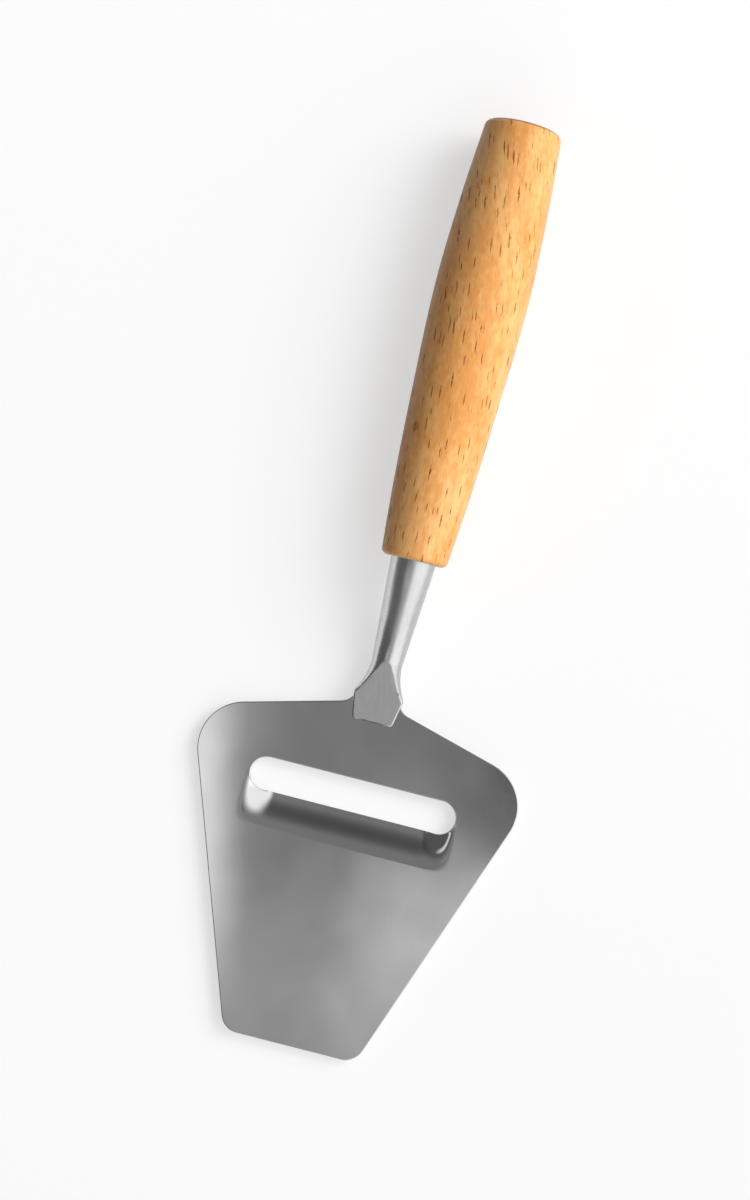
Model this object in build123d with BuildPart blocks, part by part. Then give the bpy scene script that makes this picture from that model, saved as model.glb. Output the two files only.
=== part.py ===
from build123d import *
import math
import os

# A cheese slicer, in millimetres, as it lies on a table. +Z is up, +Y runs along the tool from the
# blade's tip to the handle's end, and +X is across it. The origin is on the table, under the middle
# of the tool's length.

# Blade, a flat sheet with a slot
sheet_thickness = 1.0
blade_width = 82.1
blade_corner_radius = 11.75
shoulder_angle = 15.0
side_angle = 19.6
tip_corner_radius = 5.0
tongue_width = 11.2
tongue_fillet_radius = 4.2
tongue_corner_radius = 0.8
tongue_straight = 0.2
slot_length = 52.7
slot_width = 8.5
tip_to_edge = 60.4
slot_to_widest = 0.5

# Lip, the border of the slot that is pressed down and ground to the cutting edge
lip_depth = 2.0
edge_thickness = 0.3
lip_run = 9.0
lip_crest_setback = 0.8
lip_back_run = 4.2
lip_straight = 38.0
lip_ramp = 8.0
lip_rows = 13
lip_columns = 31
lip_tolerance_share = 0.001

# Pad, the flattened end of the neck that lies on the blade
pad_thickness = 2.0
pad_front_width = 10.2
pad_width = 12.5
pad_crown = 3.0
pad_widest_setback = 6.5
facet_length = 15.4
facet_angle = 15.0
facet_runout = 1.5
pad_corner_radius = 0.8
pad_edge_break = 0.35
pad_reach = 4.25
seat_clearance = 0.1

# Neck, a round tapering bar with a crank
neck_length = 41.5
neck_waist_diameter = 7.8
neck_end_diameter = 11.3

# Tang, the part of the bar inside the handle
tang_diameter = 6.0
tang_length = 72.0
tang_point = 1.2
ring_depth = 0.4
ring_width = 1.6
ring_pitch = 14.0
ring_count = 3
ring_start = 20.0

# Handle, a turned barrel
handle_length = 110.5
handle_front_diameter = 16.5
handle_diameter = 23.6
handle_end_diameter = 19.1
handle_rim_radius = 1.5
handle_dome_height = 0.8
handle_dome_rim_radius = 1.6

# Adhesive between the tang and the bore
adhesive_gap = 0.5
adhesive_mouth_gap = 0.5
adhesive_pool = 2.0
bore_air = 3.0
drill_point_angle = 59.0

overrun = 2.0

# Shares of the pad's length behind its widest line, and of the round neck's length
pad_station_shares = (0, 0.2, 0.4, 0.6, 0.8, 1)
neck_station_shares = (0.15, 0.3, 0.45, 0.6, 0.75, 0.88, 1)
facet_low_share = 0.35
facet_high_share = 0.97
# Places along the handle and its half-widths there, as shares of its length and greatest diameter
barrel_station_shares = (0.161, 0.375, 0.615, 0.823)
barrel_width_shares = (0.818, 0.924, 1.0, 0.928)

# The blade's shoulders leave its round corners and meet the tongue
shoulder = math.radians(shoulder_angle)
corner_x = blade_width / 2 - blade_corner_radius
shoulder_x = corner_x + blade_corner_radius * math.sin(shoulder)
tongue_x = tongue_width / 2
shoulder_start = blade_corner_radius * math.cos(shoulder)
shoulder_rise = shoulder_start + (shoulder_x - tongue_x) * math.tan(shoulder)
tongue_root_run = tongue_fillet_radius * math.tan((math.pi / 2 - shoulder) / 2)
tongue_length = tongue_root_run + tongue_straight + tongue_corner_radius

# Places along the tool. The pad reaches over the blade from where the shoulders meet the tongue
blade_length = tip_to_edge + slot_width + slot_to_widest + shoulder_rise
overall_length = blade_length - pad_reach + neck_length + handle_length
tip_y = -overall_length / 2
edge_y = tip_y + tip_to_edge
slot_back_y = edge_y + slot_width
widest_y = slot_back_y + slot_to_widest
tongue_root_y = widest_y + shoulder_rise
pad_front_y = tongue_root_y - pad_reach
pad_widest_y = pad_front_y + pad_widest_setback
apex_y = pad_front_y + facet_length
tongue_end_y = tongue_root_y + tongue_length
handle_front_y = pad_front_y + neck_length

# Heights
blade_bottom_z = lip_depth
blade_top_z = blade_bottom_z + sheet_thickness
axis_z = handle_diameter / 2

# The pad's planed top, with local x rising towards the handle
facet = math.radians(facet_angle)
facet_plane = Plane(
    origin=(0, pad_front_y, blade_top_z + pad_thickness),
    x_dir=(0, math.cos(facet), math.sin(facet)),
    z_dir=(0, -math.sin(facet), math.cos(facet)),
)

# The handle's axis, a plane across its front, and a plane that holds the axis with local x along it
across_handle = Plane(origin=(0, handle_front_y, axis_z), x_dir=(1, 0, 0), z_dir=(0, 1, 0))
along_handle = Plane(origin=(0, handle_front_y, axis_z), x_dir=(0, 1, 0), z_dir=(1, 0, 0))
handle_axis = Axis(origin=(0, handle_front_y, axis_z), direction=(0, 1, 0))


def smooth(share):
    """Rise from 0 to 1, level at both ends."""
    return math.sin(math.pi / 2 * min(max(share, 0), 1)) ** 2


def facet_z(y):
    """Height of the pad's planed top at a place along the tool."""
    return blade_top_z + pad_thickness + (y - pad_front_y) * math.tan(facet)


# The lip's dish: how far the sheet is pressed down at each place of a rectangle round the lip
dish_half_width = lip_straight / 2 + lip_ramp
crest_y = edge_y + lip_crest_setback
dish_front_y = edge_y - lip_run
dish_back_y = crest_y + lip_back_run
edge_share = smooth(lip_run / (lip_run + lip_crest_setback))
crest_drop = (blade_top_z - edge_thickness) / edge_share


def dish_drop(x, y):
    """Depth of the dish, deepest on the crest line and level with the sheet on its border."""
    across = smooth((dish_half_width - abs(x)) / lip_ramp)
    if y < crest_y:
        along = smooth((y - dish_front_y) / (crest_y - dish_front_y))
    else:
        along = smooth((dish_back_y - y) / lip_back_run)
    return crest_drop * across * along


dish_points = [
    [
        (x, y, blade_top_z - dish_drop(x, y))
        for x in [dish_half_width * (2 * i / (lip_columns - 1) - 1) for i in range(lip_columns)]
    ]
    for y in [
        dish_front_y + (dish_back_y - dish_front_y) * j / (lip_rows - 1) for j in range(lip_rows)
    ]
]
dish_face = Face.make_surface_from_array_of_points(dish_points, tol=sheet_thickness * lip_tolerance_share)

# Blade plate
side = math.radians(side_angle)
shoulder_point = (shoulder_x, widest_y + shoulder_start)
side_point = (
    corner_x + blade_corner_radius * math.cos(side),
    widest_y - blade_corner_radius * math.sin(side),
)
tip_x = side_point[0] - (side_point[1] - tip_y) * math.tan(side)

with BuildPart() as blade_plate:
    with BuildSketch(Plane.XY.offset(blade_bottom_z)) as blade_outline:
        with BuildLine():
            Polyline((0, tongue_end_y), (tongue_x, tongue_end_y), (tongue_x, tongue_root_y), shoulder_point)
            ThreePointArc(shoulder_point, (blade_width / 2, widest_y), side_point)
            Polyline(side_point, (tip_x, tip_y), (0, tip_y))
            mirror(about=Plane.YZ)
        make_face()
        roots = [v for v in blade_outline.vertices() if math.isclose(v.Y, tongue_root_y)]
        fillet(roots, tongue_fillet_radius)
        corners = blade_outline.vertices().group_by(Axis.Y)[-1]
        fillet(corners, tongue_corner_radius)
        tips = [v for v in blade_outline.vertices() if math.isclose(abs(v.X), tip_x)]
        fillet(tips, tip_corner_radius)
        with Locations((0, (dish_front_y + dish_back_y) / 2)):
            Rectangle(2 * dish_half_width, dish_back_y - dish_front_y, mode=Mode.SUBTRACT)
    extrude(amount=sheet_thickness)
    extrude(to_extrude=dish_face, amount=sheet_thickness, dir=(0, 0, -1))
    with BuildSketch(Plane.XY.offset(-overrun)):
        with Locations((0, edge_y + slot_width / 2)):
            SlotOverall(slot_length, slot_width)
    extrude(amount=blade_top_z + 2 * overrun, mode=Mode.SUBTRACT)
    # The lip is ground level with the table, which leaves the cutting edge
    with BuildSketch(Plane.XY):
        with Locations((0, edge_y)):
            Rectangle(2 * dish_half_width, 2 * lip_run)
    extrude(amount=-crest_drop, mode=Mode.SUBTRACT)

blade_plate.part.label = "blade_plate"

# Neck shaft: the pad and neck are lofted through sections square to the bar's middle line
pad_half = pad_width / 2
pad_front_half = pad_front_width / 2
flank_half = pad_half / math.sqrt(1 - facet_low_share**2)
waist_radius = neck_waist_diameter / 2
end_radius = neck_end_diameter / 2


def pad_section(share):
    """Place, height, half-width and half-height of the bar between its widest line and the waist."""
    y = pad_widest_y + share * (apex_y - pad_widest_y)
    half_width = waist_radius + (flank_half - waist_radius) * (1 - share) ** 2
    half_height = pad_crown + (waist_radius - pad_crown) * share
    depth_share = facet_low_share + (facet_high_share - facet_low_share) * share
    return y, facet_z(y) - half_height * depth_share, half_width, half_height


waist_z = pad_section(1)[1]
neck_run = handle_front_y - apex_y
crank_height = axis_z - waist_z

with BuildPart() as neck_shaft:
    for share in pad_station_shares:
        y, z, half_width, half_height = pad_section(share)
        with BuildSketch(Plane(origin=(0, y, z), x_dir=(1, 0, 0), z_dir=(0, 1, 0))):
            Ellipse(half_width, half_height)
    for share in neck_station_shares:
        y = apex_y + share * neck_run
        z = waist_z + crank_height * smooth(share)
        slope = crank_height / neck_run * math.pi / 2 * math.sin(math.pi * share)
        with BuildSketch(Plane(origin=(0, y, z), x_dir=(1, 0, 0), z_dir=(0, 1, slope))):
            Circle(waist_radius + (end_radius - waist_radius) * share)
    loft()
    # The pad runs on to its front with the same section
    y, z, half_width, half_height = pad_section(0)
    front_z = z - facet_z(y) + facet_z(pad_front_y)
    with BuildSketch(Plane(origin=(0, y, z), x_dir=(1, 0, 0), z_dir=(0, 1, 0))):
        Ellipse(half_width, half_height)
    with BuildSketch(Plane(origin=(0, pad_front_y, front_z), x_dir=(1, 0, 0), z_dir=(0, 1, 0))):
        Ellipse(half_width, half_height)
    loft(ruled=True)
    # The facet is planed off the top, from the front to a little past the waist
    with BuildSketch(facet_plane):
        facet_reach = (facet_length + facet_runout) / math.cos(facet)
        with Locations(((facet_reach - overrun) / 2, 0)):
            Rectangle(facet_reach + overrun, pad_width + overrun)
    extrude(amount=pad_width, mode=Mode.SUBTRACT)
    # The pad's sides are trimmed upright, in straight lines to round front corners
    trim_back_half = pad_front_half + (pad_half - pad_front_half) * facet_length / pad_widest_setback
    with BuildSketch(Plane.XY):
        with Locations((0, (pad_front_y - overrun + apex_y) / 2)):
            Rectangle(2 * (trim_back_half + overrun), facet_length + overrun)
        with BuildLine():
            Polyline(
                (pad_front_half, pad_front_y),
                (trim_back_half, apex_y),
                (-trim_back_half, apex_y),
                (-pad_front_half, pad_front_y),
                close=True,
            )
        pad_plan = make_face(mode=Mode.SUBTRACT)
        fillet(pad_plan.vertices().group_by(Axis.Y)[0], pad_corner_radius)
    extrude(amount=pad_width, mode=Mode.SUBTRACT)
    # The step under the pad takes the blade's tongue
    with BuildSketch(Plane.YZ):
        seat_back_y = tongue_end_y + seat_clearance
        with Locations(((pad_front_y - overrun + seat_back_y) / 2, blade_top_z - pad_width / 2)):
            Rectangle(seat_back_y - pad_front_y + overrun, pad_width)
    extrude(amount=pad_width, both=True, mode=Mode.SUBTRACT)
    facet_face = neck_shaft.faces().filter_by(Axis(facet_plane.origin, facet_plane.z_dir))
    chamfer(facet_face.edges(), pad_edge_break)
    # The tang has a blunt point and rings turned into it for the adhesive to grip
    with BuildSketch(across_handle):
        Circle(tang_diameter / 2)
    extrude(amount=tang_length)
    chamfer(neck_shaft.faces().sort_by(Axis.Y)[-1].edges(), tang_point)
    with BuildSketch(along_handle):
        for ring in range(ring_count):
            with Locations((ring_start + ring * ring_pitch, tang_diameter / 2)):
                Rectangle(ring_width, 2 * ring_depth)
    revolve(axis=handle_axis, mode=Mode.SUBTRACT)

neck_shaft.part.label = "neck_shaft"

# Handle: half of its outline is drawn beside its axis and turned, and the bore is drilled in it
bore_radius = tang_diameter / 2 + adhesive_gap
adhesive_end = tang_length + adhesive_pool
bore_length = adhesive_end + bore_air
drill_point_length = bore_radius / math.tan(math.radians(drill_point_angle))
barrel_length = handle_length - handle_dome_height
barrel_points = [
    (station * handle_length, width * handle_diameter / 2)
    for station, width in zip(barrel_station_shares, barrel_width_shares)
]

with BuildPart() as handle:
    with BuildSketch(along_handle):
        with BuildLine():
            front_rim = (0, handle_front_diameter / 2)
            dome_rim = (barrel_length, handle_end_diameter / 2)
            Polyline((handle_length, 0), (0, 0), front_rim)
            Spline(front_rim, *barrel_points, dome_rim)
            TangentArc((handle_length, 0), dome_rim, tangent=(0, 1))
        make_face()
    revolve(axis=handle_axis)
    fillet(handle.edges().filter_by(lambda edge: edge.is_closed).sort_by(Axis.Y)[0], handle_rim_radius)
    fillet(handle.edges().filter_by(lambda edge: edge.is_closed).sort_by(Axis.Y)[-1], handle_dome_rim_radius)
    with BuildSketch(along_handle):
        with BuildLine():
            Polyline(
                (0, 0),
                (bore_length + drill_point_length, 0),
                (bore_length, bore_radius),
                (0, bore_radius),
                close=True,
            )
        make_face()
    revolve(axis=handle_axis, mode=Mode.SUBTRACT)

handle.part.label = "handle"

# Adhesive fills the bore round the tang and a little way past its point
with BuildPart() as tang_adhesive:
    with BuildSketch(across_handle.offset(adhesive_mouth_gap)):
        Circle(bore_radius)
    extrude(amount=adhesive_end - adhesive_mouth_gap)
    add(neck_shaft.part, mode=Mode.SUBTRACT)

tang_adhesive.part.label = "tang_adhesive"

os.makedirs("parts", exist_ok=True)
export_step(blade_plate.part, "parts/blade_plate.step")
export_step(neck_shaft.part, "parts/neck_shaft.step")
export_step(handle.part, "parts/handle.step")
export_step(tang_adhesive.part, "parts/tang_adhesive.step")
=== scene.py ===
import math

import bmesh
import bpy
from mathutils import Matrix, Vector
from mathutils.geometry import interpolate_bezier


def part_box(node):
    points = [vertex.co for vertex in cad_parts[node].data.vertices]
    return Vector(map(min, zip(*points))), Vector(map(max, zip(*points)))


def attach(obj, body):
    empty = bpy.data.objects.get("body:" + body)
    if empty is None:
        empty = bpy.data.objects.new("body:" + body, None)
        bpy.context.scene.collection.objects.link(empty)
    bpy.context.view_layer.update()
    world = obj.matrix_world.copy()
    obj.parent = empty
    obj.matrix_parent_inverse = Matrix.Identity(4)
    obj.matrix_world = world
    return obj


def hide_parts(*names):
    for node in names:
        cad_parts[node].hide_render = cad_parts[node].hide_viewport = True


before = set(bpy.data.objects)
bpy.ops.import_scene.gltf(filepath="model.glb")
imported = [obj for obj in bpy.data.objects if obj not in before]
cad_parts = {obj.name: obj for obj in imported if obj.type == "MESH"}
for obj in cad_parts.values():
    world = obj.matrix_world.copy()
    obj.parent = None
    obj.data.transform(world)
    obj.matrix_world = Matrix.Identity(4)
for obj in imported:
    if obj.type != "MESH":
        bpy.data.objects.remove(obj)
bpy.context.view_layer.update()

mm = 0.001
white = (1, 1, 1, 1)


# Shader maths

class Wire:  # one output socket, which joins in sums
    def __init__(self, sheet, socket):
        self.sheet = sheet
        self.socket = socket

    def __add__(self, other):
        return self.sheet.maths("ADD", self, other)

    def __sub__(self, other):
        return self.sheet.maths("SUBTRACT", self, other)

    def __rsub__(self, other):
        return self.sheet.maths("SUBTRACT", other, self)

    def __mul__(self, other):
        return self.sheet.maths("MULTIPLY", self, other)

    def __truediv__(self, other):
        return self.sheet.maths("DIVIDE", self, other)

    def __pow__(self, other):
        return self.sheet.maths("POWER", self, other)

    def __neg__(self):
        return self.sheet.maths("MULTIPLY", self, -1)

    __radd__ = __add__
    __rmul__ = __mul__


class NodeSheet:  # the nodes of one material, lamp or world
    def __init__(self, owner):
        owner.use_nodes = True
        self.tree = owner.node_tree
        self.tree.nodes.clear()

    def add(self, kind, settings=None, values=None, output=0):
        node = self.tree.nodes.new("ShaderNode" + kind)
        for name, value in (settings or {}).items():
            setattr(node, name, value)
        for name, value in (values or {}).items():
            if isinstance(value, Wire):
                self.tree.links.new(value.socket, node.inputs[name])
            else:
                node.inputs[name].default_value = value
        return Wire(self, node.outputs[output]) if len(node.outputs) else node

    def maths(self, operation, *terms):
        return self.add("Math", {"operation": operation}, dict(enumerate(terms)))

    def blendIn(self, value, start, end):  # eased step from 0 at the start to 1 at the end
        return self.add(
            "MapRange",
            {"interpolation_type": "SMOOTHSTEP"},
            {"Value": value, "From Min": start, "From Max": end},
        )

    def mixColour(self, share, first, second):
        return self.add("Mix", {"data_type": "RGBA"}, {0: share, 6: first, 7: second}, 2)

    def split(self, vector):
        return [self.add("SeparateXYZ", {}, {0: vector}, axis) for axis in range(3)]

    def join(self, x, y, z=0.0):
        return self.add("CombineXYZ", {}, {0: x, 1: y, 2: z})

    def noise(self, vector, scale, detail):
        return self.add("TexNoise", {}, {"Vector": vector, "Scale": scale, "Detail": detail}, "Fac")

    def grain(self, parts, scales, detail):  # noise stretched by its scales
        scaled = [part * scale for part, scale in zip(parts, scales)]
        return self.noise(self.join(*scaled), 1.0, detail)

    def place(self, centre):  # the piece's own place in millimetres, from a centre given in metres
        shift = [-part / mm for part in centre]
        spot = self.add("TexCoord", output="Object")
        return self.add("Mapping", {}, {"Vector": spot, "Location": shift, "Scale": (1 / mm,) * 3})

    def finish(self, shader, kind="OutputMaterial"):
        self.add(kind, {}, {"Surface": shader})


def newMaterial(name):
    material = bpy.data.materials.new(name)
    return material, NodeSheet(material)


# Helpers for meshes

def finishPiece(mesh, name, material, node, sharpAngle):
    bmesh.ops.recalc_face_normals(mesh, faces=mesh.faces)
    for edge in mesh.edges:  # steep edges join those already marked sharp
        edge.smooth = edge.smooth and edge.calc_face_angle(0) < math.radians(sharpAngle)
    data = bpy.data.meshes.new(name)
    mesh.to_mesh(data)
    mesh.free()
    data.materials.append(material)
    for face in data.polygons:
        face.use_smooth = True
    piece = bpy.data.objects.new(name, data)
    bpy.context.scene.collection.objects.link(piece)
    modifier = piece.modifiers.new("normals", "WEIGHTED_NORMAL")
    modifier.keep_sharp = True
    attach(piece, "root")
    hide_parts(node)
    print(name, "made with", len(data.polygons), "faces")


def lineTo(mesh, corner, place):
    made = bmesh.ops.extrude_vert_indiv(mesh, verts=[corner])
    made["verts"][0].co = place
    return made["verts"][0]


def arcTo(mesh, corner, centre, degrees, steps):
    made = bmesh.ops.spin(
        mesh, geom=[corner], cent=centre, axis=(0, 0, 1), angle=math.radians(degrees), steps=steps
    )
    return made["geom_last"][0]


def roundEdges(mesh, edges, radius):
    bmesh.ops.bevel(
        mesh,
        geom=edges,
        offset=radius,
        offset_type="OFFSET",
        segments=2,
        profile=0.5,
        affect="EDGES",
        material=-1,
        clamp_overlap=False,
    )


def ease(share):  # rise from 0 to 1, level at both ends
    return math.sin(math.pi / 2 * min(max(share, 0), 1)) ** 2


# Beech handle

handleLow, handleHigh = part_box("handle")
handle = {
    "frontY": handleLow.y,
    "endY": handleHigh.y,
    "axisZ": (handleLow.z + handleHigh.z) / 2,
    "frontRadius": 0.00825,
    "bellyRadius": 0.011799,
    "endRadius": 0.00955,
    "stations": (0.161, 0.375, 0.615, 0.823),
    "widths": (0.818, 0.924, 1.0, 0.928),
    "rimRadius": 0.0015,
    "domeHeight": 0.0008,
    "endRimRadius": 0.0016,
    "boreRadius": 0.0035,
    "boreLength": 0.077,
    "borePoint": 0.0021,
    "endSteepness": 1.15,  # the barrel's last slope against its last span's
    "rimClearance": 0.0003,
    "stationSpacing": 0.0001,
    "spanCuts": 16,
    "rimSteps": 8,
    "endRimSteps": 10,
    "domeSteps": 12,
    "turns": 160,
    "weldDistance": 0.000002,
    "sliverLength": 0.000001,
    "sharpAngle": 50,
}
wood = {  # lengths in millimetres, scales of the grain for each millimetre
    "pale": (0.83, 0.465, 0.175, 1),
    "ruddy": (0.73, 0.315, 0.085, 1),
    "line": (0.50, 0.165, 0.032, 1),
    "fleck": (0.210, 0.042, 0.006, 1),
    "broadScales": (0.12, 0.020, 0.03),
    "streakScales": (0.45, 0.09, 0.1),
    "mottleScales": (0.9, 0.45, 0.5),
    "toneRange": (0.38, 0.62),
    "ringScales": (0.09, 0.03),
    "ringWaver": 5.0,
    "ringWidth": 2.6,
    "ringShare": 0.12,
    "fibreScales": (3.4, 0.35, 0.4),
    "fibreShare": 0.30,
    "faintShare": 0.35,
    "boldShare": 0.95,
    "knotPlace": (-7.7, 31.7),
    "knotSize": 1.3,
    "knotShare": 0.45,
    "endGrainShare": 0.30,
    "rimShadeShare": 0.80,
    "pithDepth": 55.0,
    "startLean": 0.02,
    "endLean": 0.19,
    "roughness": 0.43,
    "grainHeight": 0.00004,
}
flecks = {
    "bold": {"width": 1.00, "length": 11.5, "size": 0.140, "kept": 0.68},
    "faint": {"width": 0.75, "length": 6.5, "size": 0.120, "kept": 0.50},
    "smallest": 0.6,
    "sizeSpread": 0.8,
    "palest": 0.6,
}


def fleckField(sheet, ray, along, fleck):  # dark dashes, one to a cell at most
    cells = {"voronoi_dimensions": "2D"}
    spot = {"Vector": sheet.join(ray / fleck["width"], along / fleck["length"]), "Scale": 1.0}
    distance = sheet.add("TexVoronoi", cells, spot, "Distance")
    chance, size, depth = sheet.split(sheet.add("TexVoronoi", cells, spot, "Color"))
    reach = fleck["size"] * (flecks["smallest"] + size * flecks["sizeSpread"])
    shape = sheet.blendIn(distance / reach, 1.1, 0.65)
    strength = flecks["palest"] + depth * (1 - flecks["palest"])
    return shape * sheet.maths("LESS_THAN", chance, fleck["kept"]) * strength


def beechMaterial():
    material, sheet = newMaterial("oiledBeech")
    spot = sheet.place((0, handle["frontY"], handle["axisZ"]))
    x, y, z = sheet.split(spot)
    length = (handle["endY"] - handle["frontY"]) / mm
    curve = (wood["endLean"] - wood["startLean"]) / (2 * length)
    across = x + y * wood["startLean"] + y * y * curve
    depth = z + wood["pithDepth"]
    ray = sheet.maths("ARCTAN2", across, depth) * wood["pithDepth"]
    ringPlace = sheet.maths("SQRT", across * across + depth * depth)

    # Broad tone, streaks, and the faint year rings that the turned barrel cuts through
    broad = sheet.grain((ray, y, z), wood["broadScales"], 2.0)
    streaks = sheet.grain((ray, y, z), wood["streakScales"], 3.0)
    mottle = sheet.grain((ray, y, z), wood["mottleScales"], 3.0)
    tone = sheet.blendIn(broad * 0.40 + streaks * 0.30 + mottle * 0.30, *wood["toneRange"])
    colour = sheet.mixColour(tone, wood["pale"], wood["ruddy"])
    waver = sheet.grain((ray, y), wood["ringScales"], 2.0) * wood["ringWaver"]
    wave = sheet.maths("SINE", (ringPlace + waver) * (2 * math.pi / wood["ringWidth"]))
    rings = sheet.blendIn(wave, 0.2, 1.0) * wood["ringShare"]
    colour = sheet.mixColour(rings, colour, wood["line"])

    # Fine fibre lines, then the flecks of the rays and a pin knot
    fibre = sheet.grain((ray, y, z), wood["fibreScales"], 4.0)
    fibreDark = sheet.blendIn(fibre, 0.50, 0.70)
    colour = sheet.mixColour(fibreDark * wood["fibreShare"], colour, wood["line"])
    ragged = (sheet.grain((ray, y), (1.6, 0.8), 2.0) - 0.5) * 0.45
    broken = sheet.blendIn(sheet.grain((ray, y), (2.0, 1.5), 1.0), 0.28, 0.42)
    boldFlecks = fleckField(sheet, ray + ragged, y, flecks["bold"]) * broken
    faintFlecks = fleckField(sheet, ray + 31.7, y + 5.3, flecks["faint"])
    knotX, knotY = wood["knotPlace"]
    knotReach = (x - knotX) ** 2 + ((y - knotY) * 0.8) ** 2
    knot = sheet.blendIn(knotReach, wood["knotSize"], 0.1) * sheet.blendIn(z, 0.0, 2.0)
    colour = sheet.mixColour(faintFlecks * wood["faintShare"], colour, wood["fleck"])
    colour = sheet.mixColour(boldFlecks * wood["boldShare"], colour, wood["fleck"])
    colour = sheet.mixColour(knot * wood["knotShare"], colour, wood["fleck"])

    # The end is a little darker, and painted shade darkens its rim
    endGrain = sheet.blendIn(y, length - 1.3, length - 0.95)
    # painted shade: the fleck colour darkens the outer ring of the end, where the rounded rim turns
    # away from the light
    rimPaintedShade = endGrain * sheet.blendIn(x * x + z * z, 50.0, 68.0)
    colour = sheet.mixColour(endGrain * wood["endGrainShare"], colour, wood["line"])
    colour = sheet.mixColour(rimPaintedShade * wood["rimShadeShare"], colour, wood["fleck"])

    roughness = wood["roughness"] + fibreDark * 0.05 + boldFlecks * 0.15
    height = fibre * 0.35 - boldFlecks * 0.8 - faintFlecks * 0.25
    relief = {"Strength": 0.35, "Distance": wood["grainHeight"], "Height": height}
    grain = sheet.add("Bump", {}, relief)
    shader = sheet.add(
        "BsdfPrincipled",
        {},
        {
            "Base Color": colour,
            "Roughness": roughness,
            "Normal": grain,
            "Specular IOR Level": 0.2,
            "Sheen Weight": 0.3,
            "Sheen Roughness": 0.4,
        },
    )
    sheet.finish(shader)
    return material


def makeHandle():
    size = handle
    mesh = bmesh.new()
    axis = Vector((0, 0, size["axisZ"]))
    frontY, endY = size["frontY"], size["endY"]
    wholeLength = endY - frontY

    def onSide(y, radius):
        return axis + Vector((radius, y, 0))

    # The barrel's line runs evenly through its stations
    knots = [onSide(frontY, size["frontRadius"])]
    for station, width in zip(size["stations"], size["widths"]):
        knots.append(onSide(frontY + wholeLength * station, size["bellyRadius"] * width))
    knots.append(onSide(endY - size["domeHeight"], size["endRadius"]))
    slopes = [(knots[1] - knots[0]) / (knots[1].y - knots[0].y)]
    for before, after in zip(knots, knots[2:]):
        slopes.append((after - before) / (after.y - before.y))
    slopes.append((knots[-1] - knots[-2]) * size["endSteepness"] / (knots[-1].y - knots[-2].y))
    barrel = []
    for first, second, out, into in zip(knots, knots[1:], slopes, slopes[1:]):
        third = (second.y - first.y) / 3
        handles = (first + out * third, second - into * third)
        barrel += interpolate_bezier(first, *handles, second, size["spanCuts"])

    # Round rim at the front, level with the front face and with the barrel
    rim = size["rimRadius"]
    frontLean = math.atan(slopes[0].x)
    tangentY = frontY + rim * (1 - math.sin(frontLean))
    tangentX = size["frontRadius"] + math.tan(frontLean) * (tangentY - frontY)
    rimCentreX = tangentX - rim * math.cos(frontLean)
    corner = mesh.verts.new(onSide(frontY + size["boreLength"] + size["borePoint"], 0))
    corner = lineTo(mesh, corner, onSide(frontY + size["boreLength"], size["boreRadius"]))
    corner = lineTo(mesh, corner, onSide(frontY, size["boreRadius"]))
    corner = lineTo(mesh, corner, onSide(frontY, rimCentreX))
    rimTurn = 90 - math.degrees(frontLean)
    corner = arcTo(mesh, corner, onSide(frontY + rim, rimCentreX), rimTurn, size["rimSteps"])

    # Round rim at the end, between the barrel and the shallow dome
    rim = size["endRimRadius"]
    rise = size["domeHeight"]
    domeRadius = (size["endRadius"] ** 2 + rise**2) / (2 * rise)
    domeY = endY - domeRadius
    endLean = -math.atan(slopes[-1].x)
    rimY = endY - rise - rim
    for attempt in range(6):  # the rim's centre settles between the barrel and the dome
        lineX = size["endRadius"] + math.tan(endLean) * (endY - rise - rimY)
        rimX = lineX - rim / math.cos(endLean)
        rimY = domeY + math.sqrt((domeRadius - rim) ** 2 - rimX**2)
    domeAngle = math.degrees(math.atan2(rimX, rimY - domeY))
    rimStart = onSide(rimY + rim * math.sin(endLean), rimX + rim * math.cos(endLean))
    firstY, lastY = tangentY + size["rimClearance"], rimStart.y - size["rimClearance"]
    for place in barrel:
        if firstY < place.y < lastY and place.y > corner.co.y + size["stationSpacing"]:
            corner = lineTo(mesh, corner, place)
    corner = lineTo(mesh, corner, rimStart)
    rimTurn = 90 - math.degrees(endLean) - domeAngle
    corner = arcTo(mesh, corner, onSide(rimY, rimX), rimTurn, size["endRimSteps"])
    arcTo(mesh, corner, onSide(domeY, 0), domeAngle, size["domeSteps"])

    bmesh.ops.spin(
        mesh,
        geom=mesh.verts[:] + mesh.edges[:],
        cent=axis,
        axis=(0, 1, 0),
        angle=2 * math.pi,
        steps=size["turns"],
        use_merge=True,
    )
    bmesh.ops.remove_doubles(mesh, verts=mesh.verts, dist=size["weldDistance"])
    bmesh.ops.dissolve_degenerate(mesh, edges=mesh.edges, dist=size["sliverLength"])
    finishPiece(mesh, "beechHandle", beechMaterial(), "handle", size["sharpAngle"])


makeHandle()


# Blade plate

bladeLow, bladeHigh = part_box("blade_plate")
blade = {
    "tipY": bladeLow.y,
    "tongueEndY": bladeHigh.y,
    "halfWidth": bladeHigh.x,
    "topZ": 0.003,
    "thickness": 0.001,
    "cornerRadius": 0.01175,
    "shoulderAngle": 15.0,
    "sideAngle": 19.6,
    "tipRadius": 0.005,
    "tongueHalf": 0.0056,
    "tongueFillet": 0.0042,
    "tongueCorner": 0.0008,
    "tipToEdge": 0.0604,
    "slotToWidest": 0.0005,
    "slotHalf": 0.02635,
    "slotWidth": 0.0085,
    "edgeRound": 0.00024,
    "slotRound": 0.00026,
    "collar": 0.0100,  # width of the rings of faces round the slot
    "collarRings": 24,
    "collarGrowth": 1.1,
    "slotCuts": 48,
    "slotEndSteps": 36,
    "cornerSteps": 40,
    "filletSteps": 14,
    "tipSteps": 14,
    "tongueCornerSteps": 6,
    "halvesMeet": 0.000005,
    "flatNormal": 0.9999,
    "nearly": 0.9,
    "sharpAngle": 35,
}
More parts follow.
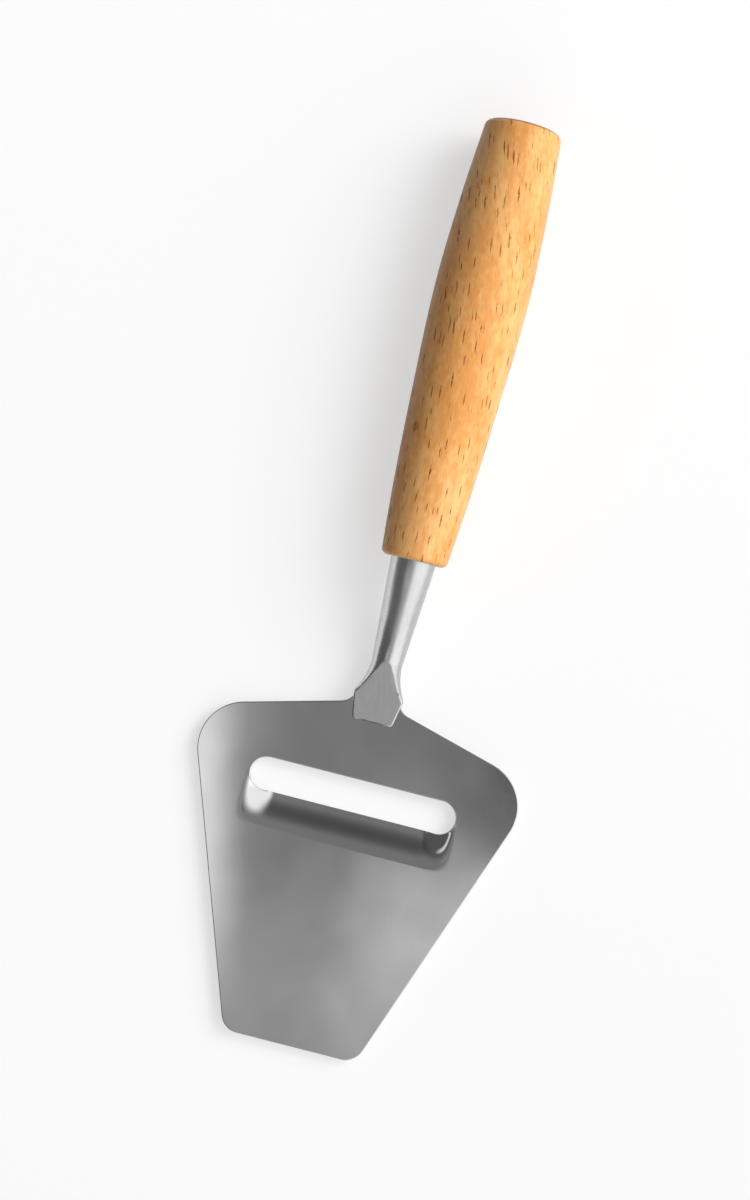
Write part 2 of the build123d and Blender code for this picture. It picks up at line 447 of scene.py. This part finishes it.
lip = {
    "run": 0.009,
    "crestSetback": 0.0008,
    "backRun": 0.0042,
    "halfStraight": 0.019,
    "ramp": 0.008,
    "edge": 0.0003,
}
edgeY = blade["tipY"] + blade["tipToEdge"]
slotMiddleY = edgeY + blade["slotWidth"] / 2
slotRadius = blade["slotWidth"] / 2
slotRun = blade["slotHalf"] - slotRadius
widestY = edgeY + blade["slotWidth"] + blade["slotToWidest"]


def lipDrop(x, y):  # how far the sheet is pressed down beside the slot
    crestY = edgeY + lip["crestSetback"]
    wholeRun = lip["run"] + lip["crestSetback"]
    deepest = (blade["topZ"] - lip["edge"]) / ease(lip["run"] / wholeRun)
    across = ease((lip["halfStraight"] + lip["ramp"] - abs(x)) / lip["ramp"])
    if y < crestY:
        along = ease((y - edgeY + lip["run"]) / wholeRun)
    else:
        along = ease((crestY + lip["backRun"] - y) / lip["backRun"])
    return deepest * across * along


def fromSlot(place):  # nearest point on the slot's middle line, and the distance outside the slot
    core = Vector((min(max(place.x, -slotRun), slotRun), slotMiddleY, 0))
    return core, (place.xy - core.xy).length - slotRadius


def satinSteelMaterial():
    steel = {
        "pale": (0.63, 0.63, 0.63, 1),
        "deep": (0.57, 0.57, 0.575, 1),
        "polishScales": (6.0, 0.35, 1.0),
        "roughness": 0.08,
        "waverScale": 0.035,
        "waverHeight": 0.00008,
    }
    material, sheet = newMaterial("satinSteel")
    spot = sheet.place((0, slotMiddleY, blade["topZ"]))
    x, y, z = sheet.split(spot)
    cloud = sheet.noise(spot, 0.05, 2.0)
    haze = sheet.noise(spot, 0.9, 4.0)
    colour = sheet.mixColour(sheet.blendIn(cloud, 0.35, 0.65), steel["pale"], steel["deep"])
    polish = sheet.grain((x, y, z), steel["polishScales"], 3.0)
    scratches = sheet.noise(sheet.join(x * 0.5 + y * 0.22, y * 9.0 - x * 3.0), 1.0, 2.0)
    scratched = sheet.blendIn(scratches, 0.66, 0.76)
    roughness = steel["roughness"] + haze * 0.02 + polish * 0.02 + scratched * 0.04
    waver = sheet.noise(spot, steel["waverScale"], 1.0)
    height = waver * 1.5 + polish * 0.003 + haze * 0.002 - scratched * 0.003
    relief = {"Strength": 1.0, "Distance": steel["waverHeight"], "Height": height}
    wave = sheet.add("Bump", {}, relief)
    shader = sheet.add(
        "BsdfPrincipled",
        {},
        {"Base Color": colour, "Metallic": 1.0, "Roughness": roughness, "Normal": wave},
    )
    sheet.finish(shader)
    return material


def bladeOutline(mesh):  # half of the outer edge from the tongue to the tip, then its mirror image
    size = blade
    shoulder = math.radians(size["shoulderAngle"])
    side = math.radians(size["sideAngle"])
    radius = size["cornerRadius"]
    cornerX = size["halfWidth"] - radius
    shoulderX = cornerX + radius * math.sin(shoulder)
    shoulderY = widestY + radius * math.cos(shoulder)
    rootY = shoulderY + (shoulderX - size["tongueHalf"]) * math.tan(shoulder)
    rootRun = size["tongueFillet"] * math.tan((math.pi / 2 - shoulder) / 2)
    sideX = cornerX + radius * math.cos(side)
    sideY = widestY - radius * math.sin(side)
    tipX = sideX - (sideY - size["tipY"]) * math.tan(side)
    tipTurn = 90 - size["sideAngle"]
    tipRun = size["tipRadius"] * math.tan(math.radians(tipTurn) / 2)
    tongueX, tongueY, small = size["tongueHalf"], size["tongueEndY"], size["tongueCorner"]

    corner = mesh.verts.new((0, tongueY, 0))
    corner = lineTo(mesh, corner, (tongueX - small, tongueY, 0))
    smallCentre = (tongueX - small, tongueY - small, 0)
    corner = arcTo(mesh, corner, smallCentre, -90, size["tongueCornerSteps"])
    corner = lineTo(mesh, corner, (tongueX, rootY + rootRun, 0))
    filletCentre = (tongueX + size["tongueFillet"], rootY + rootRun, 0)
    filletTurn = 90 - size["shoulderAngle"]
    corner = arcTo(mesh, corner, filletCentre, filletTurn, size["filletSteps"])
    corner = lineTo(mesh, corner, (shoulderX, shoulderY, 0))
    cornerTurn = size["shoulderAngle"] - size["sideAngle"] - 90
    corner = arcTo(mesh, corner, (cornerX, widestY, 0), cornerTurn, size["cornerSteps"])
    tipStart = (tipX + tipRun * math.sin(side), size["tipY"] + tipRun * math.cos(side), 0)
    corner = lineTo(mesh, corner, tipStart)
    tipCentre = (tipX - tipRun, size["tipY"] + size["tipRadius"], 0)
    corner = arcTo(mesh, corner, tipCentre, -tipTurn, size["tipSteps"])
    lineTo(mesh, corner, (0, size["tipY"], 0))
    half = mesh.verts[:] + mesh.edges[:]
    bmesh.ops.mirror(mesh, geom=half, axis="X", merge_dist=size["halvesMeet"])
    return mesh.edges[:]


def slotOutline(mesh):  # two straight sides and two half circles
    before = set(mesh.edges)
    cuts, endSteps = blade["slotCuts"], blade["slotEndSteps"]
    farY = edgeY + blade["slotWidth"]
    first = mesh.verts.new((-slotRun, edgeY, 0))
    corner = first
    for step in range(cuts):
        corner = lineTo(mesh, corner, (slotRun * (2 * (step + 1) / cuts - 1), edgeY, 0))
    corner = arcTo(mesh, corner, (slotRun, slotMiddleY, 0), 180, endSteps)
    for step in range(cuts):
        corner = lineTo(mesh, corner, (slotRun * (1 - 2 * (step + 1) / cuts), farY, 0))
    corner = arcTo(mesh, corner, (-slotRun, slotMiddleY, 0), 180, endSteps)
    bmesh.ops.pointmerge(mesh, verts=[first, corner], merge_co=first.co)
    return [edge for edge in mesh.edges if edge not in before]


def sheetHeight(edge):  # the sheet's thickness under the middle of an edge
    place = (edge.verts[0].co + edge.verts[1].co) / 2
    top = blade["topZ"] - lipDrop(place.x, place.y)
    return top - max(top - blade["thickness"], 0)


def makeBlade():
    size = blade
    mesh = bmesh.new()
    outline = bladeOutline(mesh)
    ring = slotOutline(mesh)

    # Rings of faces grow outwards from the slot, closest together at its edge
    reach = 0.0
    for step in range(size["collarRings"]):
        wanted = size["collar"] * ((step + 1) / size["collarRings"]) ** size["collarGrowth"]
        made = bmesh.ops.extrude_edge_only(mesh, edges=ring)["geom"]
        for vert in (item for item in made if isinstance(item, bmesh.types.BMVert)):
            core, distance = fromSlot(vert.co)
            vert.co = core + (vert.co - core).normalized() * (slotRadius + wanted)
        middle = (reach + wanted) / 2
        edges = [item for item in made if isinstance(item, bmesh.types.BMEdge)]
        ring = [edge for edge in edges if all(fromSlot(vert.co)[1] > middle for vert in edge.verts)]
        reach = wanted
    bmesh.ops.triangle_fill(mesh, use_beauty=True, edges=outline + ring, normal=(0, 0, 1))
    for vert in mesh.verts:
        vert.co.z = size["topZ"] - lipDrop(vert.co.x, vert.co.y)

    # The underside follows a sheet's thickness below, and is ground level at the lip
    topSide = mesh.verts[:] + mesh.edges[:] + mesh.faces[:]
    copied = bmesh.ops.duplicate(mesh, geom=topSide)["geom"]
    for vert in (item for item in copied if isinstance(item, bmesh.types.BMVert)):
        vert.co.z = max(vert.co.z - size["thickness"], 0)
    underside = [item for item in copied if isinstance(item, bmesh.types.BMFace)]
    bmesh.ops.reverse_faces(mesh, faces=underside)
    rims = [edge for edge in mesh.edges if edge.is_boundary]
    outer = [edge for edge in rims if fromSlot(edge.verts[0].co)[1] > size["collar"]]
    inner = [edge for edge in rims if fromSlot(edge.verts[0].co)[1] < size["collar"]]
    bmesh.ops.bridge_loops(mesh, edges=outer)
    bmesh.ops.bridge_loops(mesh, edges=inner)
    bmesh.ops.recalc_face_normals(mesh, faces=mesh.faces)
    roundEdges(mesh, outer, size["edgeRound"])
    full = size["nearly"] * size["thickness"]  # the ground lip is thinner and stays sharp
    thick = [edge for edge in inner if edge.is_valid and sheetHeight(edge) > full]
    roundEdges(mesh, thick, size["slotRound"])
    for edge in mesh.edges:  # the flat faces end sharply at the rounded outer edge
        flat = [abs(face.normal.z) > size["flatNormal"] for face in edge.link_faces]
        nearSlot = fromSlot(edge.verts[0].co)[1] < size["nearly"] * size["collar"]
        edge.smooth = all(flat) or not any(flat) or nearSlot
    steel = satinSteelMaterial()
    finishPiece(mesh, "bladePlate", steel, "blade_plate", size["sharpAngle"])


makeBlade()


# Neck shaft, from the pad's front to the tang's point

shaftLow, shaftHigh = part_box("neck_shaft")
shaft = {
    "frontY": shaftLow.y,
    "padTopZ": 0.005,
    "facetAngle": 15.0,
    "facetLength": 0.0154,
    "widestSetback": 0.0065,
    "frontHalf": 0.0051,
    "widestHalf": 0.00625,
    "cornerRadius": 0.0008,
    "edgeBreak": 0.00033,
    "crown": 0.003,
    "waistRadius": 0.0039,
    "endRadius": 0.00565,
    "lowShare": 0.35,
    "highShare": 0.97,
    "seatGap": 0.0001,
    "tangRadius": 0.003,
    "tangLength": 0.072,
    "tangPoint": 0.0012,
    "ringDepth": 0.0004,
    "ringWidth": 0.0016,
    "ringPitch": 0.014,
    "ringStart": 0.020,
    "ringCount": 3,
    "topSteps": 4,
    "flankSteps": 36,
    "cornerSteps": 6,
    "padRings": 14,
    "neckRings": 40,
    "neckStart": 0.003,  # share of the neck's run where its first ring lies
    "weldDistance": 0.000003,
    "sharpAngle": 16,
}
apexY = shaft["frontY"] + shaft["facetLength"]
facetSlope = math.tan(math.radians(shaft["facetAngle"]))


def neckSteelMaterial():
    steel = {
        "pale": (0.58, 0.58, 0.58, 1),
        "deep": (0.54, 0.54, 0.542, 1),
        "hazeScales": (1.5, 0.35, 0.8),
        "lineScales": (6.0, 0.30, 2.0),
        "roughness": 0.24,
        "lineHeight": 0.00001,
    }
    material, sheet = newMaterial("polishedSteel")
    spot = sheet.place((0, shaft["frontY"], shaft["padTopZ"]))
    x, y, z = sheet.split(spot)
    facet = sheet.blendIn(z - y * facetSlope, -0.12, -0.02)
    haze = sheet.grain((x, y, z), steel["hazeScales"], 3.0)
    lines = sheet.grain((x, y, z), steel["lineScales"], 4.0)
    colour = sheet.mixColour(sheet.blendIn(haze, 0.35, 0.65), steel["pale"], steel["deep"])
    roughness = steel["roughness"] + facet * 0.06 + lines * 0.06
    height = lines * (0.35 + facet * 0.45) + haze * 0.05
    relief = {"Strength": 0.2, "Distance": steel["lineHeight"], "Height": height}
    marks = sheet.add("Bump", {}, relief)
    shader = sheet.add(
        "BsdfPrincipled",
        {},
        {"Base Color": colour, "Metallic": 1.0, "Roughness": roughness, "Normal": marks},
    )
    sheet.finish(shader)
    return material


def padStation(y, floor):  # the flattened end: an oval cut off by the facet, trimmed at the sides
    size = shaft
    widestY = size["frontY"] + size["widestSetback"]
    share = min(max((y - widestY) / (apexY - widestY), 0), 1)
    flank = size["widestHalf"] / math.sqrt(1 - size["lowShare"] ** 2)
    halfHeight = size["crown"] + (size["waistRadius"] - size["crown"]) * share
    facet = size["lowShare"] + (size["highShare"] - size["lowShare"]) * share
    facetZ = size["padTopZ"] + (y - size["frontY"]) * facetSlope
    widening = (size["widestHalf"] - size["frontHalf"]) * (y - size["frontY"]) / size["widestSetback"]
    into = 1 - min((y - size["frontY"]) / size["cornerRadius"], 1)
    rounding = size["cornerRadius"] * (1 - math.sqrt(1 - into**2))
    return {
        "y": y,
        "z": facetZ - halfHeight * facet,
        "lean": 0,
        "halfWidth": size["waistRadius"] + (flank - size["waistRadius"]) * (1 - share) ** 2,
        "halfHeight": halfHeight,
        "facet": facet,
        "trim": size["frontHalf"] + widening - rounding,
        "floor": floor,
    }


def roundStation(y, z, lean, radius):
    return {
        "y": y,
        "z": z,
        "lean": lean,
        "halfWidth": radius,
        "halfHeight": radius,
        "facet": None,
        "trim": 1.0,
        "floor": -1.0,
    }


def shaftStations():
    size = shaft
    frontY, radius = size["frontY"], size["cornerRadius"]
    seatY = blade["tongueEndY"] + size["seatGap"]
    corners, rings = size["cornerSteps"], size["padRings"]
    stations = []
    for step in range(corners + 1):  # round front corners
        y = frontY + radius * (1 - math.cos(math.pi / 2 * step / corners))
        stations.append(padStation(y, blade["topZ"]))
    for step in range(rings):  # over the blade's tongue
        y = frontY + radius + (seatY - frontY - radius) * (step + 1) / rings
        stations.append(padStation(y, blade["topZ"]))
    for step in range(rings + 1):  # behind the tongue, where nothing lies below
        stations.append(padStation(seatY + (apexY - seatY) * step / rings, -1.0))

    # The round neck rises to the handle's axis and its sections lean square to it
    run = handle["frontY"] - apexY
    waistZ = stations[-1]["z"]
    rise = handle["axisZ"] - waistZ
    rings = size["neckRings"]
    for step in range(rings + 1):
        share = size["neckStart"] + (1 - size["neckStart"]) * step / rings
        lean = math.atan(rise / run * math.pi / 2 * math.sin(math.pi * share))
        radius = size["waistRadius"] + (size["endRadius"] - size["waistRadius"]) * share
        stations.append(roundStation(apexY + run * share, waistZ + rise * ease(share), lean, radius))

    # The tang has grooves turned into it and a blunt point
    bar, point = size["tangRadius"], size["tangPoint"]
    groove = bar - size["ringDepth"]
    tang = [(0, bar)]
    for ring in range(size["ringCount"]):
        middle = size["ringStart"] + ring * size["ringPitch"]
        near, far = middle - size["ringWidth"] / 2, middle + size["ringWidth"] / 2
        tang += [(near, bar), (near, groove), (far, groove), (far, bar)]
    tang += [(size["tangLength"] - point, bar), (size["tangLength"], bar - point)]
    for along, radius in tang:
        stations.append(roundStation(handle["frontY"] + along, handle["axisZ"], 0, radius))
    return stations


def placeRing(ring, station):
    steps = shaft["topSteps"]
    facet = station["facet"]
    halfTurn = math.asin(facet or shaft["highShare"])
    halfWidth, halfHeight, trim = station["halfWidth"], station["halfHeight"], station["trim"]
    up = Vector((0, -math.sin(station["lean"]), math.cos(station["lean"])))
    for index, vert in enumerate(ring):
        if index < steps:  # across the top, from right to left
            reach = min(halfWidth * math.cos(halfTurn), trim)
            across = reach * (1 - 2 * index / steps)
            rise = facet or math.sqrt(1 - (across / halfWidth) ** 2)
        else:
            turn = (math.pi + 2 * halfTurn) * (index - steps) / (len(ring) - steps)
            across = min(max(halfWidth * math.cos(math.pi - halfTurn + turn), -trim), trim)
            rise = math.sin(math.pi - halfTurn + turn)
        vert.co = Vector((across, station["y"], station["z"])) + up * halfHeight * rise
        vert.co.z = max(vert.co.z, station["floor"])


def followed(vert, grown):  # the new corner that an extrusion drew out of this one
    return next(edge.other_vert(vert) for edge in vert.link_edges if edge.other_vert(vert) in grown)


def makeShaft():
    size = shaft
    mesh = bmesh.new()
    steps = size["topSteps"]
    count = steps + size["flankSteps"]
    stations = shaftStations()
    ring = bmesh.ops.create_circle(mesh, cap_ends=True, radius=size["crown"], segments=count)["verts"]
    placeRing(ring, stations[0])
    facetRim = [mesh.edges.get((ring[index], ring[index + 1])) for index in range(steps)]
    for station in stations[1:]:
        edges = [mesh.edges.get((ring[index - 1], ring[index])) for index in range(count)]
        made = bmesh.ops.extrude_edge_only(mesh, edges=edges)["geom"]
        grown = {item for item in made if isinstance(item, bmesh.types.BMVert)}
        nextRing = [followed(vert, grown) for vert in ring]
        placeRing(nextRing, station)
        if station["facet"]:
            sides = (0, steps)
            facetRim += [mesh.edges.get((ring[index], nextRing[index])) for index in sides]
        ring = nextRing
    bmesh.ops.contextual_create(mesh, geom=ring)
    bmesh.ops.recalc_face_normals(mesh, faces=mesh.faces)
    roundEdges(mesh, facetRim, size["edgeBreak"])
    bmesh.ops.remove_doubles(mesh, verts=mesh.verts, dist=size["weldDistance"])
    steel = neckSteelMaterial()
    finishPiece(mesh, "neckShaft", steel, "neck_shaft", size["sharpAngle"])


makeShaft()


# Adhesive round the tang, which the handle hides

epoxy = {
    "deep": (0.62, 0.44, 0.16, 1),
    "pale": (0.74, 0.58, 0.27, 1),
    "cloudScale": 0.4,
    "bubbleScale": 1.3,
    "bubbleHeight": 0.0001,
    "roughness": 0.3,
}


def epoxyMaterial():
    material, sheet = newMaterial("setEpoxy")
    spot = sheet.place((0, handle["frontY"], handle["axisZ"]))
    cloud = sheet.noise(spot, epoxy["cloudScale"], 3.0)
    cells = {"Vector": spot, "Scale": epoxy["bubbleScale"]}
    bubbles = sheet.add("TexVoronoi", {}, cells, "Distance")
    colour = sheet.mixColour(cloud, epoxy["deep"], epoxy["pale"])
    height = cloud * 0.5 + sheet.blendIn(bubbles, 0.05, 0.2)
    relief = {"Strength": 0.3, "Distance": epoxy["bubbleHeight"], "Height": height}
    dimples = sheet.add("Bump", {}, relief)
    roughness = epoxy["roughness"] + cloud * 0.1
    shader = sheet.add(
        "BsdfPrincipled", {}, {"Base Color": colour, "Roughness": roughness, "Normal": dimples}
    )
    sheet.finish(shader)
    return material


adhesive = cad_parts["tang_adhesive"]
adhesive.data.materials.clear()
adhesive.data.materials.append(epoxyMaterial())
print("adhesive given its material")


# Table, light and camera

camera = {
    "roll": 14.35,
    "aim": (-0.0068, -0.00437),
    "lens": 70.0,
    "sensor": 36.0,
    "frameHeight": 0.300,
}
room = {  # each range is a part of a direction that points away from the object
    "floorSize": 8.0,
    "floorColour": (0.40, 0.40, 0.40, 1),
    "floorGlow": 0.59,
    "overhead": 0.27,
    "right": 1.30,
    "rightRange": (0.09, 0.45),
    "left": 0.14,
    "leftRange": (0.06, 0.28),
    "tipSide": 0.17,
    "tipSideRange": (0.11, 0.17),
    "tipHorizon": 0.60,
    "tipHorizonRange": (0.80, 0.97),
    "tipFadeRange": (-0.30, 0.0),
    "tipGlow": 0.52,
    "endShade": 0.85,
    "endShadeRange": (0.35, 0.85),
}
leftPatch = {"place": (-0.046, -0.060), "tightness": (42, 32), "strength": 0.20}
cornerShade = {"place": (0.080, -0.066), "tightness": (42, 28), "strength": 0.80}
keyLight = {"from": (0.62, 0.50, 0.60), "distance": 1.3, "size": (1.3, 1.3), "radiance": 7.2}
leftCard = {  # low panel that the plate mirrors, placed in the camera's frame
    "spot": (-0.0675, -0.0650, 0),
    "height": 0.203,
    "size": (0.050, 0.170),
    "radiance": 0.92,
}
roll = Matrix.Rotation(math.radians(camera["roll"]), 4, "Z")


def makeFloor():
    mesh = bmesh.new()
    bmesh.ops.create_grid(mesh, x_segments=1, y_segments=1, size=room["floorSize"] / 2)
    data = bpy.data.meshes.new("tableTop")
    mesh.to_mesh(data)
    mesh.free()
    material, sheet = newMaterial("paleTable")
    matt = sheet.add("BsdfDiffuse", {}, {"Color": room["floorColour"], "Roughness": 0.5})
    rays = ("Is Camera Ray", "Is Glossy Ray", "Is Transmission Ray")
    seen = sum(sheet.add("LightPath", output=ray) for ray in rays)
    glow = sheet.add("Emission", {}, {"Color": white, "Strength": seen * room["floorGlow"]})
    sheet.finish(sheet.add("AddShader", {}, {0: matt, 1: glow}))
    data.materials.append(material)
    table = bpy.data.objects.new("tableTop", data)
    bpy.context.scene.collection.objects.link(table)


def roundPatch(sheet, x, y, patch):  # soft oval in the sky, 1 at its middle
    placeX, placeY = patch["place"]
    tightX, tightY = patch["tightness"]
    return sheet.blendIn(((x - placeX) * tightX) ** 2 + ((y - placeY) * tightY) ** 2, 1.6, 0.1)


def makeRoom():  # dim on the left, paler on the right and low down beyond the blade's tip
    world = bpy.data.worlds.new("studioRoom")
    bpy.context.scene.world = world
    sheet = NodeSheet(world)
    x, y, z = sheet.split(sheet.add("TexCoord", output="Generated"))
    overhead = room["overhead"]
    light = overhead + sheet.blendIn(x, *room["rightRange"]) * (room["right"] - overhead)
    light = light + sheet.blendIn(-x, *room["leftRange"]) * (room["left"] - overhead)
    tipSide = sheet.blendIn(-y, *room["tipSideRange"]) * room["tipSide"]
    tipHorizon = sheet.blendIn(-y, *room["tipHorizonRange"]) * room["tipHorizon"]
    light = light + (tipSide + tipHorizon) * sheet.blendIn(x, *room["tipFadeRange"])
    glow = sheet.blendIn(-y, 0.075, 0.108) * sheet.blendIn(-y, 0.20, 0.14)
    light = light + glow * sheet.blendIn(x, 0.010, 0.050) * room["tipGlow"]
    light = light + roundPatch(sheet, x, y, leftPatch) * leftPatch["strength"]
    light = light * (1 - roundPatch(sheet, x, y, cornerShade) * cornerShade["strength"])
    light = light * (1 - sheet.blendIn(y, *room["endShadeRange"]) * room["endShade"])
    sky = sheet.add("Background", {}, {"Color": white, "Strength": light})
    sheet.finish(sky, "OutputWorld")


def makeLamp(name, panel, place):  # a panel with soft edges
    lamp = bpy.data.lights.new(name, "AREA")
    lamp.shape = "RECTANGLE"
    lamp.size, lamp.size_y = panel["size"]
    lamp.energy = panel["radiance"] * math.pi * panel["size"][0] * panel["size"][1]
    sheet = NodeSheet(lamp)
    u, v, rest = sheet.split(sheet.add("NewGeometry", output="Parametric"))
    soft = sheet.blendIn(u, 0.0, 0.35) * sheet.blendIn(u, 1.0, 0.65)
    soft = soft * sheet.blendIn(v, 0.0, 0.35) * sheet.blendIn(v, 1.0, 0.65)
    sheet.finish(sheet.add("Emission", {}, {"Color": white, "Strength": soft}), "OutputLight")
    light = bpy.data.objects.new(name, lamp)
    light.matrix_world = place
    bpy.context.scene.collection.objects.link(light)
    return light


def makeCamera():
    data = bpy.data.cameras.new("camera")
    data.lens = camera["lens"]
    view = bpy.data.objects.new("camera", data)
    distance = camera["frameHeight"] * camera["lens"] / camera["sensor"]
    view.matrix_world = Matrix.Translation((*camera["aim"], blade["topZ"] + distance)) @ roll
    bpy.context.scene.collection.objects.link(view)
    bpy.context.scene.camera = view


makeFloor()
makeRoom()
turned = Vector(keyLight["from"]).to_track_quat("Z", "X").to_matrix().to_4x4()
lamp = makeLamp("keyLight", keyLight, turned @ Matrix.Translation((0, 0, keyLight["distance"])))
lamp.visible_glossy = False  # the steel mirrors the room and the card alone
cardCentre = Matrix.Translation((*camera["aim"], leftCard["height"]))
makeLamp("leftCard", leftCard, cardCentre @ roll @ Matrix.Translation(leftCard["spot"]))
makeCamera()
bpy.context.scene.view_settings.view_transform = "Standard"
print("table, lamps and camera placed")
